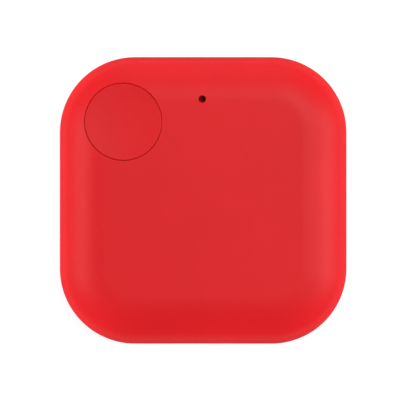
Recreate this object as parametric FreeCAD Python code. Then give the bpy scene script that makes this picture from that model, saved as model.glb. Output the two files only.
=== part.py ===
import FreeCAD, Part
import math
import os

from FreeCAD import Vector

# Square Bluetooth tracker tag: two snapped shells, a round call button, a round-cornered
# circuit board with a bite for the coin cell, a tact switch and a small magnetic buzzer.
# Millimetres. The tag lies on its rear face: +Z points out of the front face, +Y to the top
# edge, +X to the right, and the origin is the middle of the rear face.

# ---- Case ----
WIDTH = 37.0                    # across the flats, both ways
HEIGHT = 6.0                    # rear face to front face
CORNER_RADIUS = 9.7             # plan corners
FRONT_EDGE_RADIUS = 2.8         # tighter arc where the side turns into the front
FRONT_CROWN_RADIUS = 8.0        # wider arc that eases the front face down to that edge
CROWN_SLOPE = 35.0              # degrees of fall where the two arcs meet
REAR_EDGE_RADIUS = 1.5
PARTING_Z = 2.6                 # where the two shells meet
PARTING_CHAMFER = 0.12
FRONT_WALL = 0.9
REAR_FLOOR = 0.8
REAR_WALL = 1.3

# ---- Lip and snaps that hold the shells together ----
LIP_THICKNESS = 0.62
LIP_HEIGHT = 0.7
LIP_CLEARANCE = 0.08
SKIRT_THICKNESS = 0.75
SNAP_LENGTH = 4.0
SNAP_DEPTH = 0.15
SNAP_RISE = 0.2                 # height of each ramp
SNAP_LAND = 0.1                 # height of the flat crest
SNAP_Z = 2.95                   # middle of the crest
SNAP_SPACING = 10.0             # between the two snaps of a side
SNAP_CLEARANCE = 0.06

# ---- Pry notch and lanyard tunnel, both in the rear cover ----
NOTCH_LENGTH = 8.0
NOTCH_HEIGHT = 0.6
NOTCH_DEPTH = 0.8
TUNNEL_WIDTH = 3.4
TUNNEL_SLOT = 1.7               # radial size of the slot in the rear face
TUNNEL_BAR = 2.545              # from the slot to the outside of the corner
TUNNEL_LOW = 1.0                # the bar's thickness
TUNNEL_HIGH = 2.1
TUNNEL_ROOF = 0.75
TUNNEL_SIDE = 1.2
TUNNEL_BACK = 0.95
TUNNEL_ROUND = 0.6
SLOT_ROUND = 0.2                # mouth of the slot in the rear face

# ---- Call button ----
BUTTON_X = -10.27
BUTTON_Y = 10.09
BUTTON_BORE_RADIUS = 5.0
BUTTON_GAP = 0.04
BUTTON_RIM_Z = 5.74             # middle of the cap's rim, between the face's height on its two sides
BUTTON_TILT = 2.9               # degrees that the rim leans towards the corner, as the face there does
BUTTON_CORNER_ANGLE = 135       # direction of that corner
BUTTON_DISH = 0.22              # depth of the finger dish
BUTTON_RIM_ROUND = 0.1
BUTTON_PLATE_LOW = 4.85
BUTTON_SKIRT = 0.75
FLANGE_RADIUS = 5.65
FLANGE_LOW = 3.7
FLANGE_HIGH = 4.15
FLANGE_CLEARANCE = 0.12
STEM_RADIUS = 1.1
STEM_RIB = 0.6
STEM_RIB_LOW = 4.2
COLLAR_RADIUS = 6.05
COLLAR_LOW = 4.2
KEY_WIDTH = 0.8
KEY_LOW = 3.4
KEY_INNER_RADIUS = 5.3
KEY_CLEARANCE = 0.15
KEY_ANGLE = -45                 # the key's direction from the button's axis

# ---- Sound hole ----
HOLE_X = -0.12
HOLE_Y = 13.03
HOLE_RADIUS = 0.42              # at the inner end; the hole widens outwards
HOLE_MOUTH_RADIUS = 0.49

# ---- Circuit board ----
BOARD_LOW = 1.3
BOARD_THICKNESS = 0.8
BOARD_HALF = 16.9
BOARD_BITE_RADIUS = 10.45       # clearance for the coin cell
BOARD_ARM_END = 1.0             # the two arms stop here, one in Y and one in -X
BOARD_CORNER_CUT = 16.6         # diagonal distance of the cut that clears the lanyard tunnel
BOARD_HOLE_RADIUS = 0.8
BOARD_REST_RADIUS = 1.1         # pads on the rear cover, just short of the board
BOARD_REST_GAP = 0.05
BOARD_REST_PLACES = [(-10.27, 10.09), (-13.6, -6.4), (3.4, 9.6)]
VIA_RADIUS = 0.2
VIA_PLACES = [(-15.4, 5.2), (-15.4, 6.6), (-15.4, 8.0), (-15.4, 9.4), (11.0, 5.2), (12.3, 6.1),
              (13.6, 7.0), (14.9, 7.9), (-5.9, -0.6), (-5.9, -1.5), (-5.9, -2.4)]
COPPER = 0.05                   # height of plated copper and of a solder land
FOOT = 0.15                     # thickness of tinned feet and contact strips

# ---- Screws ----
SCREW_PLACES = [(-14.4, 1.0), (7.6, 13.6), (-3.4, -14.6)]
SCREW_RADIUS = 0.68
SCREW_HOLE_RADIUS = 0.7
SCREW_HEAD_RADIUS = 1.3
SCREW_HEAD_HEIGHT = 0.4
SCREW_HEAD_CHAMFER = 0.1
SCREW_LENGTH = 3.0              # below the head
SCREW_TIP = 0.5
SCREW_TIP_RADIUS = 0.3
SCREW_SLOT = 0.28               # cross recess
SCREW_SLOT_LENGTH = 1.5
SCREW_SLOT_DEPTH = 0.2
BOSS_RADIUS = 1.35
BOSS_HOLE_DEPTH = 2.6

# ---- Parts on the board: middle, width in X, depth in Y and height ----
CHIP = (-10.4, -1.7, 5.0, 5.0, 0.9)
CHIP_DOT_RADIUS = 0.3
CHIP_DOT_DEPTH = 0.05
CHIP_DOT_INSET = 0.7
LAND_PITCH = 0.5
LAND_COUNT = 8                  # each side
LAND_WIDTH = 0.24
LAND_LENGTH = 0.44
LAND_PROUD = 0.1
MAIN_CRYSTAL = (-10.4, -6.4, 3.2, 2.5, 0.8)
CLOCK_CRYSTAL = (-14.9, -3.9, 1.5, 3.2, 0.75)
CRYSTAL_LID = 0.15              # lid thickness
CRYSTAL_LEDGE = 0.2             # package left bare round the lid
INDUCTOR = (8.4, 7.6, 2.5, 2.0, 1.2)
INDUCTOR_ROUND = 0.3
CHIP_PART_LENGTH = 1.0
CHIP_PART_WIDTH = 0.5
CAPACITOR_HEIGHT = 0.5
CAPACITOR_PLACES = [(-13.2, -6.0, 90), (-13.2, -7.6, 90), (-6.6, 1.4, 0), (-8.4, 2.6, 0),
                    (-10.2, 2.6, 0), (11.0, 8.2, 90), (12.2, 8.2, 90), (11.4, 10.6, 90)]
RESISTOR_HEIGHT = 0.35
RESISTOR_PLACES = [(-12.0, 2.6, 0), (-4.2, 6.0, 90), (9.0, 10.2, 0), (9.0, 11.2, 0), (-15.0, -8.2, 90)]
ANTENNA_LEFT = -12.8
ANTENNA_RIGHT = -6.4
ANTENNA_LOW = -14.6
ANTENNA_HIGH = -10.8
ANTENNA_FEED = 1.6              # run from the meander's upper left end towards the chip
ANTENNA_TRACK = 0.5
ANTENNA_FOLDS = 6

# ---- Coin cell, the common 20 mm by 3.2 mm size ----
CELL_X = 5.6
CELL_Y = -5.6
CELL_LOW = 0.9
CELL_HEIGHT = 3.2
CELL_RADIUS = 10.0
CELL_SHEET = 0.25
CELL_HEEL = 0.5                 # pressed corner of the can
CELL_CRIMP_HIGH = 3.0
CELL_CRIMP = 0.7                # how far the can's rim is rolled in
CELL_LAND_RADIUS = 8.7          # flat top of the cap
CELL_CAP_SKIRT_RADIUS = 9.4
CELL_FILL_RADIUS = 8.0
CELL_CATHODE_HEIGHT = 1.38
CELL_SEPARATOR_HEIGHT = 0.13
CELL_MARK_LENGTH = 3.0          # plus sign pressed into the can
CELL_MARK_WIDTH = 0.6
CELL_MARK_DEPTH = 0.08
CRADLE_INNER_RADIUS = 10.3
CRADLE_THICKNESS = 0.7
CRADLE_LOW = 2.25
CRADLE_REAR_HIGH = 1.2
CRADLE_GAPS = [(135, 6.4), (180, 4.6)]      # direction and width of the way in for each contact

# ---- Coin cell contacts: distances from the cell's axis ----
NEGATIVE_WIDTH = 3.6
NEGATIVE_FOOT = 14.2
NEGATIVE_RISER = 11.6
NEGATIVE_ARM_Z = 4.62
NEGATIVE_BEND = 5.0
NEGATIVE_TIP = 1.6
NEGATIVE_SPLIT = 0.6            # slit that makes the arm two fingers
NEGATIVE_SPLIT_END = 6.2
POSITIVE_WIDTH = 3.0
POSITIVE_FOOT = 12.6
POSITIVE_RISER = 10.7
POSITIVE_TOUCH = 10.16

# ---- Tact switch ----
SWITCH_SIDE = 5.2
SWITCH_ROUND = 0.4
SWITCH_BASE_HEIGHT = 0.5
SWITCH_FLOOR = 0.15
SWITCH_WELL_RADIUS = 1.9
SWITCH_FRAME_INSET = 0.2
SWITCH_FRAME_THICKNESS = 0.1
SWITCH_FRAME_HOLE = 1.1
SWITCH_FOOT_LENGTH = 0.7
SWITCH_FOOT_WIDTH = 0.6
SWITCH_FOOT_ROW = 1.85
PLUNGER_RADIUS = 1.0
PLUNGER_FLANGE_RADIUS = 1.5
PLUNGER_LOW = 2.53
PLUNGER_HIGH = 2.93
PLUNGER_FLANGE = 0.05
DOME_RADIUS = 1.8
DOME_THICKNESS = 0.06

# ---- Buzzer ----
BUZZER_X = 1.08
BUZZER_Y = 11.5
BUZZER_SIDE = 7.5
BUZZER_ROUND = 0.4
BUZZER_HEIGHT = 2.5
BUZZER_BASE_HEIGHT = 0.15
BUZZER_ROOF = 0.3
BUZZER_CHAMBER_RADIUS = 3.3
BUZZER_PORT_RADIUS = 0.6
BUZZER_FOOT_LENGTH = 0.5
BUZZER_FOOT_WIDTH = 1.1
BUZZER_FOOT_ROW = 2.4
YOKE_RADIUS = 3.2
YOKE_THICKNESS = 0.25
CORE_RADIUS = 0.55
CORE_HEIGHT = 1.35
COIL_OUTER_RADIUS = 1.6
COIL_HEIGHT = 0.88
MAGNET_INNER_RADIUS = 2.3
MAGNET_OUTER_RADIUS = 3.15
MAGNET_HEIGHT = 0.83
SPACER_INNER_RADIUS = 2.9
SPACER_HIGH = 1.48
DIAPHRAGM_THICKNESS = 0.07
DIAPHRAGM_WEIGHT_RADIUS = 0.9
DIAPHRAGM_WEIGHT_HIGH = 0.25
GASKET_RADIUS = 2.1
GASKET_HOLE_RADIUS = 0.8

# ---- Derived places ----
HALF = WIDTH / 2
STRAIGHT = HALF - CORNER_RADIUS          # half the straight run of a side; also the corner centres
BOARD_HIGH = BOARD_LOW + BOARD_THICKNESS
LIP_TOP = PARTING_Z + LIP_HEIGHT
SKIRT_HALF = HALF - SKIRT_THICKNESS
LIP_OUTER_HALF = SKIRT_HALF - LIP_CLEARANCE
LIP_INNER_HALF = LIP_OUTER_HALF - LIP_THICKNESS
REAR_INNER_HALF = HALF - REAR_WALL
BUTTON_CAP_RADIUS = BUTTON_BORE_RADIUS - BUTTON_GAP
BUTTON_POCKET_RADIUS = BUTTON_CAP_RADIUS - BUTTON_SKIRT
BUZZER_FLOOR = BOARD_HIGH + BUZZER_BASE_HEIGHT
BUZZER_TOP = BOARD_HIGH + BUZZER_HEIGHT
DIAGONAL = math.sqrt(2)
CORNER_TIP = STRAIGHT * DIAGONAL + CORNER_RADIUS      # centre to the outside, along a diagonal
FAR = 40.0                               # longer than any part of the tag
ROOT = 0.3                               # how deep an added piece is sunk into what carries it
HAIR = 0.02                              # a fitting gap inside one assembly
UP = Vector(0, 0, 1)
ORIGIN = Vector(0, 0, 0)


# ---- Shape helpers ----
def block(low, high):
    """Box between two opposite corners."""
    size = [high[i] - low[i] for i in range(3)]
    return Part.makeBox(*size, Vector(*low))


def plate(x, y, width, depth, low, high):
    """Upright box of a width in X and depth in Y about a point."""
    return block((x - width / 2, y - depth / 2, low), (x + width / 2, y + depth / 2, high))


def rod(x, y, radius, low, high):
    return Part.makeCylinder(radius, high - low, Vector(x, y, low))


def ring(x, y, inner, outer, low, high):
    return rod(x, y, outer, low, high).cut(rod(x, y, inner, low - 1, high + 1))


def turned(points, x, y):
    """Solid turned about the upright axis through (x, y) from a closed outline of (radius, z)."""
    corners = [Vector(r, 0, z) for r, z in points]
    face = Part.Face(Part.makePolygon(corners + corners[:1]))
    solid = face.revolve(ORIGIN, UP, 360)
    solid.translate(Vector(x, y, 0))
    return solid


def diagonal_block(near, far, width, low, high):
    """Box that lies along the upper right diagonal, from near to far from the centre."""
    solid = block((near, -width / 2, low), (far, width / 2, high))
    return solid.rotated(ORIGIN, UP, 45)


def upright_edges(solid):
    return [e for e in solid.Edges if e.BoundBox.ZLength > 0.9 * solid.BoundBox.ZLength]


def rounded(solid, radius):
    """Rounds a prism's upright edges."""
    return solid.makeFillet(radius, upright_edges(solid))


def slab(half, low, high):
    """Rounded-square prism whose corners share the case's corner centres."""
    return rounded(block((-half, -half, low), (half, half, high)), half - STRAIGHT)


def case_section(inset, low, rear_round):
    """Half section of the case, set in by inset, from a corner's centre line to its side."""
    slope = math.radians(CROWN_SLOPE)
    crown = FRONT_CROWN_RADIUS
    edge = FRONT_EDGE_RADIUS
    edge_centre = Vector(CORNER_RADIUS - edge, 0, HEIGHT - crown + (crown - edge) * math.cos(slope))
    crown_centre = Vector(edge_centre.x - (crown - edge) * math.sin(slope), 0, HEIGHT - crown)

    def on_arc(centre, radius, angle):
        return centre + Vector(math.sin(angle), 0, math.cos(angle)) * (radius - inset)

    side = CORNER_RADIUS - inset
    shoulder = on_arc(edge_centre, edge, math.pi / 2)
    joint = on_arc(edge_centre, edge, slope)
    brow = on_arc(crown_centre, crown, 0)
    edges = [
        Part.Arc(shoulder, on_arc(edge_centre, edge, (slope + math.pi / 2) / 2), joint).toShape(),
        Part.Arc(joint, on_arc(crown_centre, crown, slope / 2), brow).toShape(),
        Part.makeLine(brow, Vector(0, 0, brow.z)),
        Part.makeLine(Vector(0, 0, brow.z), Vector(0, 0, low)),
    ]
    foot = Vector(side, 0, low)
    if rear_round:
        heel = Vector(side - rear_round, 0, low)
        foot = Vector(side, 0, low + rear_round)
        bend = Vector(side, 0, low) + Vector(-1, 0, 1) * rear_round * (1 - 1 / DIAGONAL)
        edges.append(Part.makeLine(Vector(0, 0, low), heel))
        edges.append(Part.Arc(heel, bend, foot).toShape())
    else:
        edges.append(Part.makeLine(Vector(0, 0, low), foot))
    edges.append(Part.makeLine(foot, shoulder))
    return Part.Face(Part.Wire(Part.__sortEdges__(edges)))


def case_solid(inset, low, rear_round=0.0):
    """The case's outer form, or the same set in by inset all over: sides extruded, corners turned."""
    section = case_section(inset, low, rear_round)
    section.translate(Vector(STRAIGHT, -STRAIGHT, 0))
    side = section.extrude(Vector(0, 2 * STRAIGHT, 0))
    section.translate(Vector(0, 2 * STRAIGHT, 0))
    corner = section.revolve(Vector(STRAIGHT, STRAIGHT, 0), UP, 90)
    core = block((-STRAIGHT, -STRAIGHT, low), (STRAIGHT, STRAIGHT, HEIGHT - inset))
    pieces = [p.rotated(ORIGIN, UP, 90 * turn) for turn in range(4) for p in (side, corner)]
    return core.multiFuse(pieces).removeSplitter()


def four_sides(make):
    """The pieces that make() returns for the right side, on all four sides."""
    return [p.rotated(ORIGIN, UP, 90 * turn) for turn in range(4) for p in make()]


def snaps(grow):
    """Snap ridges of the lip, or their recesses in the skirt when grow is over 0."""
    base = LIP_OUTER_HALF - LIP_THICKNESS / 2
    crest = LIP_OUTER_HALF + SNAP_DEPTH + grow
    reach = SNAP_LAND / 2 + SNAP_RISE + grow
    land = SNAP_LAND / 2 + grow
    outline = [(base, -reach), (crest, -land), (crest, land), (base, reach)]

    def make():
        made = []
        for middle in (-SNAP_SPACING / 2, SNAP_SPACING / 2):
            length = SNAP_LENGTH + 2 * grow
            start = middle - length / 2
            corners = [Vector(x, start, SNAP_Z + z) for x, z in outline]
            face = Part.Face(Part.makePolygon(corners + corners[:1]))
            made.append(face.extrude(Vector(0, length, 0)))
        return made

    return four_sides(make)


def bent_strip(path, thickness, width):
    """Sheet-metal strip: a path of (x, z) bends, thickened to both sides and drawn out in Y."""
    points = [Vector(x, 0, z) for x, z in path]
    normals = []
    for a, b in zip(points, points[1:]):
        along = (b - a).normalize()
        normals.append(Vector(-along.z, 0, along.x))
    left, right = [], []
    for i, p in enumerate(points):
        before = normals[max(i - 1, 0)]
        after = normals[min(i, len(normals) - 1)]
        mitre = (before + after) * (thickness / 2 / (1 + before.dot(after)))
        left.append(p + mitre)
        right.append(p - mitre)
    outline = left + right[::-1]
    face = Part.Face(Part.makePolygon(outline + outline[:1]))
    solid = face.extrude(Vector(0, width, 0))
    solid.translate(Vector(0, -width / 2, 0))
    return solid


def placed(solid, x, y, angle):
    """Turns a solid about the upright axis, then moves it to (x, y)."""
    moved = solid.rotated(ORIGIN, UP, angle)
    moved.translate(Vector(x, y, 0))
    return moved


OUTER = case_solid(0.0, 0.0, REAR_EDGE_RADIUS)


# ---- Shells ----
def chamfered_half(low, high):
    """The part of the outer form between two heights, its edge at the parting line broken."""
    half = OUTER.common(plate(0, 0, FAR, FAR, low, high))
    seam = [e for e in half.Edges
            if abs(e.BoundBox.ZMin - PARTING_Z) < 1e-4 and abs(e.BoundBox.ZMax - PARTING_Z) < 1e-4]
    return half.makeChamfer(PARTING_CHAMFER, seam)


def front_cradle():
    """Round wall that holds the coin cell, open where the two contacts reach in."""
    outer = CRADLE_INNER_RADIUS + CRADLE_THICKNESS
    wall = ring(CELL_X, CELL_Y, CRADLE_INNER_RADIUS, outer, CRADLE_LOW, HEIGHT)
    for angle, width in CRADLE_GAPS:
        gap = block((0, -width / 2, 0), (FAR, width / 2, FAR))
        wall = wall.cut(placed(gap, CELL_X, CELL_Y, angle))
    return wall


def front_cover():
    shell = chamfered_half(PARTING_Z, FAR).cut(case_solid(FRONT_WALL, -1.0))
    shell = shell.cut(slab(SKIRT_HALF, 0.0, LIP_TOP + LIP_CLEARANCE))
    shell = shell.cut(rod(BUTTON_X, BUTTON_Y, FLANGE_RADIUS + FLANGE_CLEARANCE, 0, COLLAR_LOW))
    key = block((KEY_INNER_RADIUS, -KEY_WIDTH / 2, KEY_LOW),
                (COLLAR_RADIUS - HAIR, KEY_WIDTH / 2, COLLAR_LOW + ROOT))
    added = [rod(BUTTON_X, BUTTON_Y, COLLAR_RADIUS, COLLAR_LOW, HEIGHT), front_cradle(),
             placed(key, BUTTON_X, BUTTON_Y, KEY_ANGLE)]
    added += [rod(x, y, BOSS_RADIUS, BOARD_HIGH, HEIGHT) for x, y in SCREW_PLACES]
    shell = shell.multiFuse([solid.common(OUTER) for solid in added])
    cuts = [rod(BUTTON_X, BUTTON_Y, BUTTON_BORE_RADIUS, COLLAR_LOW - ROOT, FAR), sound_hole()]
    cuts += [rod(x, y, SCREW_HOLE_RADIUS, 0, BOARD_HIGH + BOSS_HOLE_DEPTH) for x, y in SCREW_PLACES]
    cuts += snaps(SNAP_CLEARANCE)
    shell = shell.cut(Part.makeCompound(cuts)).removeSplitter()
    return shell.makeFillet(BUTTON_RIM_ROUND, rim_edges(shell, BUTTON_BORE_RADIUS))


def sound_hole():
    """Tapered pin that leaves the sound hole: the front wall's thickness, and as much again each way."""
    taper = HOLE_MOUTH_RADIUS - HOLE_RADIUS
    return Part.makeCone(HOLE_RADIUS - taper, HOLE_MOUTH_RADIUS + taper, 3 * FRONT_WALL,
                         Vector(HOLE_X, HOLE_Y, HEIGHT - 2 * FRONT_WALL))


def rim_edges(solid, radius):
    """Edges on the front face that run round the button's axis at a radius."""
    found = []
    for edge in solid.Edges:
        span = edge.LastParameter - edge.FirstParameter
        samples = [edge.valueAt(edge.FirstParameter + share * span) for share in (0.0, 0.3, 0.6, 1.0)]
        runs_round = all(abs(math.hypot(p.x - BUTTON_X, p.y - BUTTON_Y) - radius) < 1e-3 for p in samples)
        on_face = all(p.z > HEIGHT - FRONT_WALL for p in samples)
        lies_flat = edge.BoundBox.ZLength < 0.8 * FRONT_WALL
        if runs_round and on_face and lies_flat:
            found.append(edge)
    return found


def on_outer_rim(edge):
    """Whether an edge of the rear face is the corner's own arc round the corner's centre."""
    p = edge.valueAt(edge.FirstParameter)
    return abs(math.hypot(p.x - STRAIGHT, p.y - STRAIGHT) - (CORNER_RADIUS - REAR_EDGE_RADIUS)) < 1e-3


def lanyard_tunnel():
    """Passage for a cord: in through the rear face, out through the side of the corner."""
    outer = CORNER_TIP - TUNNEL_BAR
    inner = outer - TUNNEL_SLOT
    slot = rounded(diagonal_block(inner, outer, TUNNEL_WIDTH, -1.0, TUNNEL_HIGH), TUNNEL_ROUND)
    window = diagonal_block(inner + TUNNEL_ROUND, FAR, TUNNEL_WIDTH, TUNNEL_LOW, TUNNEL_HIGH)
    return slot.fuse(window)


def lanyard_housing():
    """Walls and roof that keep the tunnel apart from the inside of the case."""
    inner = CORNER_TIP - TUNNEL_BAR - TUNNEL_SLOT - TUNNEL_BACK
    outer = CORNER_TIP - REAR_WALL + ROOT / 2
    housing = diagonal_block(inner, outer, TUNNEL_WIDTH + 2 * TUNNEL_SIDE,
                             REAR_FLOOR - ROOT, TUNNEL_HIGH + TUNNEL_ROOF)
    return housing.common(slab(LIP_OUTER_HALF, 0.0, FAR))


def rear_cover():
    tray = chamfered_half(0.0, PARTING_Z).cut(slab(REAR_INNER_HALF, REAR_FLOOR, FAR))
    lip = slab(LIP_OUTER_HALF, PARTING_Z - ROOT, LIP_TOP).cut(slab(LIP_INNER_HALF, 0.0, FAR))
    cradle_outer = CRADLE_INNER_RADIUS + CRADLE_THICKNESS
    cradle = ring(CELL_X, CELL_Y, CRADLE_INNER_RADIUS, cradle_outer, REAR_FLOOR - ROOT, CRADLE_REAR_HIGH)
    rests = [rod(x, y, BOARD_REST_RADIUS, REAR_FLOOR - ROOT, BOARD_LOW - BOARD_REST_GAP)
             for x, y in BOARD_REST_PLACES]
    tray = tray.multiFuse([lip, cradle, lanyard_housing()] + rests + snaps(0.0)).removeSplitter()
    notch = block((-NOTCH_LENGTH / 2, -FAR, PARTING_Z - NOTCH_HEIGHT),
                  (NOTCH_LENGTH / 2, -HALF + NOTCH_DEPTH, PARTING_Z))
    tray = tray.cut(Part.makeCompound([lanyard_tunnel(), notch])).removeSplitter()
    slot_mouth = [e for e in tray.Edges if e.BoundBox.ZMax < 1e-4 and e.CenterOfMass.x > STRAIGHT
                  and e.CenterOfMass.y > STRAIGHT and not on_outer_rim(e)]
    return tray.makeFillet(SLOT_ROUND, slot_mouth)


# ---- Button ----
def finger_dish():
    """Ball that hollows the cap's top, leaning a little towards the corner of the case."""
    radius = (BUTTON_CAP_RADIUS ** 2 + BUTTON_DISH ** 2) / (2 * BUTTON_DISH)
    lean = math.sin(math.radians(BUTTON_TILT))
    heading = math.radians(BUTTON_CORNER_ANGLE)
    axis = Vector(lean * math.cos(heading), lean * math.sin(heading), math.sqrt(1 - lean ** 2))
    rim_middle = Vector(BUTTON_X, BUTTON_Y, BUTTON_RIM_Z)
    return Part.makeSphere(radius, rim_middle + axis * (radius - BUTTON_DISH))


def button_cap():
    crown = rod(BUTTON_X, BUTTON_Y, BUTTON_CAP_RADIUS, FLANGE_LOW, FAR).cut(finger_dish())
    crown = crown.makeFillet(BUTTON_RIM_ROUND, rim_edges(crown, BUTTON_CAP_RADIUS))
    flange = rod(BUTTON_X, BUTTON_Y, FLANGE_RADIUS, FLANGE_LOW, FLANGE_HIGH)
    pocket = rod(BUTTON_X, BUTTON_Y, BUTTON_POCKET_RADIUS, 0, BUTTON_PLATE_LOW)
    key_slot = block((KEY_INNER_RADIUS - KEY_CLEARANCE, -KEY_WIDTH / 2 - KEY_CLEARANCE, 0),
                     (FAR, KEY_WIDTH / 2 + KEY_CLEARANCE, COLLAR_LOW))
    cap = crown.fuse(flange).cut(pocket).cut(placed(key_slot, BUTTON_X, BUTTON_Y, KEY_ANGLE))
    top = BUTTON_PLATE_LOW + ROOT
    stem = rod(BUTTON_X, BUTTON_Y, STEM_RADIUS, PLUNGER_HIGH + HAIR, top)
    across = 2 * (BUTTON_POCKET_RADIUS + ROOT)
    ribs = [plate(BUTTON_X, BUTTON_Y, across, STEM_RIB, STEM_RIB_LOW, top),
            plate(BUTTON_X, BUTTON_Y, STEM_RIB, across, STEM_RIB_LOW, top)]
    return cap.multiFuse([stem] + ribs).removeSplitter()


# ---- Circuit board and what fixes it ----
def circuit_board():
    board = slab(BOARD_HALF, BOARD_LOW, BOARD_HIGH)
    cuts = [rod(CELL_X, CELL_Y, BOARD_BITE_RADIUS, 0, FAR),
            block((CELL_X, -FAR, 0), (FAR, BOARD_ARM_END, FAR)),
            block((-BOARD_ARM_END, -FAR, 0), (FAR, CELL_Y, FAR)),
            diagonal_block(BOARD_CORNER_CUT, FAR, FAR, 0, FAR)]
    cuts += [rod(x, y, BOARD_HOLE_RADIUS, 0, FAR) for x, y in SCREW_PLACES]
    cuts += [rod(x, y, VIA_RADIUS, 0, FAR) for x, y in VIA_PLACES]
    return board.cut(Part.makeCompound(cuts))


def board_screws():
    """Three thin-headed self-tapping screws, put in from the rear."""
    made = []
    head_low = BOARD_LOW - SCREW_HEAD_HEIGHT
    tip = BOARD_LOW + SCREW_LENGTH
    outline = [(0, head_low), (SCREW_HEAD_RADIUS - SCREW_HEAD_CHAMFER, head_low),
               (SCREW_HEAD_RADIUS, head_low + SCREW_HEAD_CHAMFER), (SCREW_HEAD_RADIUS, BOARD_LOW),
               (SCREW_RADIUS, BOARD_LOW), (SCREW_RADIUS, tip - SCREW_TIP), (SCREW_TIP_RADIUS, tip), (0, tip)]
    for x, y in SCREW_PLACES:
        screw = turned(outline, x, y)
        for width, depth in ((SCREW_SLOT_LENGTH, SCREW_SLOT), (SCREW_SLOT, SCREW_SLOT_LENGTH)):
            screw = screw.cut(plate(x, y, width, depth, 0, head_low + SCREW_SLOT_DEPTH))
        made.append(screw)
    return Part.makeCompound(made)


def copper(x, y, width, depth):
    return plate(x, y, width, depth, BOARD_HIGH, BOARD_HIGH + COPPER)


def antenna_trace():
    """Meandered copper antenna on the board's front, fed at its upper left end."""
    pitch = (ANTENNA_RIGHT - ANTENNA_LEFT) / ANTENNA_FOLDS
    height = ANTENNA_HIGH - ANTENNA_LOW
    middle = (ANTENNA_HIGH + ANTENNA_LOW) / 2
    turn_y = (height - ANTENNA_TRACK) / 2
    runs = [copper(ANTENNA_LEFT + i * pitch, middle, ANTENNA_TRACK, height)
            for i in range(ANTENNA_FOLDS + 1)]
    for i in range(ANTENNA_FOLDS):
        side = 1 if i % 2 else -1
        runs.append(copper(ANTENNA_LEFT + (i + 0.5) * pitch, middle + side * turn_y, pitch, ANTENNA_TRACK))
    feed_middle = ANTENNA_HIGH + ANTENNA_FEED / 2
    runs.append(copper(ANTENNA_LEFT, feed_middle, ANTENNA_TRACK, ANTENNA_FEED + ANTENNA_TRACK))
    return runs[0].multiFuse(runs[1:]).removeSplitter()


def bluetooth_chip():
    x, y, width, depth, height = CHIP
    top = BOARD_HIGH + height
    dot = rod(x - width / 2 + CHIP_DOT_INSET, y + depth / 2 - CHIP_DOT_INSET, CHIP_DOT_RADIUS,
              top - CHIP_DOT_DEPTH, FAR)
    return plate(x, y, width, depth, BOARD_HIGH + COPPER, top).cut(dot)


def chip_terminals():
    """Solder lands along each side of the chip's underside, just proud of its edge."""
    x, y, side = CHIP[:3]
    reach = side / 2 + LAND_PROUD - LAND_LENGTH / 2
    made = []
    for turn in range(4):
        for i in range(LAND_COUNT):
            along = (i - (LAND_COUNT - 1) / 2) * LAND_PITCH
            made.append(placed(copper(reach, along, LAND_LENGTH, LAND_WIDTH), x, y, 90 * turn))
    return Part.makeCompound(made)


def crystal(x, y, width, depth, height):
    """Ceramic package with a narrower metal lid."""
    ledge = BOARD_HIGH + height - CRYSTAL_LID
    package = plate(x, y, width, depth, BOARD_HIGH, ledge)
    lid = plate(x, y, width - 2 * CRYSTAL_LEDGE, depth - 2 * CRYSTAL_LEDGE, ledge, ledge + CRYSTAL_LID)
    return package.fuse(rounded(lid, CRYSTAL_LEDGE))


def main_crystal():
    return crystal(*MAIN_CRYSTAL)


def clock_crystal():
    return crystal(*CLOCK_CRYSTAL)


def chip_parts(places, height):
    """Small two-ended surface-mount parts."""
    one = plate(0, 0, CHIP_PART_LENGTH, CHIP_PART_WIDTH, BOARD_HIGH, BOARD_HIGH + height)
    return Part.makeCompound([placed(one, x, y, angle) for x, y, angle in places])


def capacitors():
    return chip_parts(CAPACITOR_PLACES, CAPACITOR_HEIGHT)


def resistors():
    return chip_parts(RESISTOR_PLACES, RESISTOR_HEIGHT)


def power_inductor():
    x, y, width, depth, height = INDUCTOR
    return rounded(plate(x, y, width, depth, BOARD_HIGH, BOARD_HIGH + height), INDUCTOR_ROUND)


def feet(x, y, reach, length, width, row):
    """Four tinned feet that come out of a square part at its left and right."""
    return Part.makeCompound([
        plate(x + side * (reach + length / 2), y + end * row, length, width, BOARD_HIGH, BOARD_HIGH + FOOT)
        for side in (-1, 1) for end in (-1, 1)])


# ---- Tact switch under the button ----
def switch_base():
    top = BOARD_HIGH + SWITCH_BASE_HEIGHT
    base = rounded(plate(BUTTON_X, BUTTON_Y, SWITCH_SIDE, SWITCH_SIDE, BOARD_HIGH, top), SWITCH_ROUND)
    return base.cut(rod(BUTTON_X, BUTTON_Y, SWITCH_WELL_RADIUS, BOARD_HIGH + SWITCH_FLOOR, FAR))


def switch_terminals():
    return feet(BUTTON_X, BUTTON_Y, SWITCH_SIDE / 2, SWITCH_FOOT_LENGTH, SWITCH_FOOT_WIDTH, SWITCH_FOOT_ROW)


def switch_dome():
    """Snap dome: a shallow spherical cap of spring steel that stands in the base's well."""
    low = BOARD_HIGH + SWITCH_FLOOR
    rise = PLUNGER_LOW - HAIR - low
    outer_radius = (DOME_RADIUS ** 2 + rise ** 2) / (2 * rise)
    centre = Vector(BUTTON_X, BUTTON_Y, low + rise - outer_radius)
    shell = Part.makeSphere(outer_radius, centre).cut(Part.makeSphere(outer_radius - DOME_THICKNESS, centre))
    return shell.common(rod(BUTTON_X, BUTTON_Y, FAR, low, FAR))


def switch_plunger():
    stem = rod(BUTTON_X, BUTTON_Y, PLUNGER_RADIUS, PLUNGER_LOW, PLUNGER_HIGH)
    flange = rod(BUTTON_X, BUTTON_Y, PLUNGER_FLANGE_RADIUS, PLUNGER_LOW, PLUNGER_LOW + PLUNGER_FLANGE)
    return stem.fuse(flange)


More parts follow.
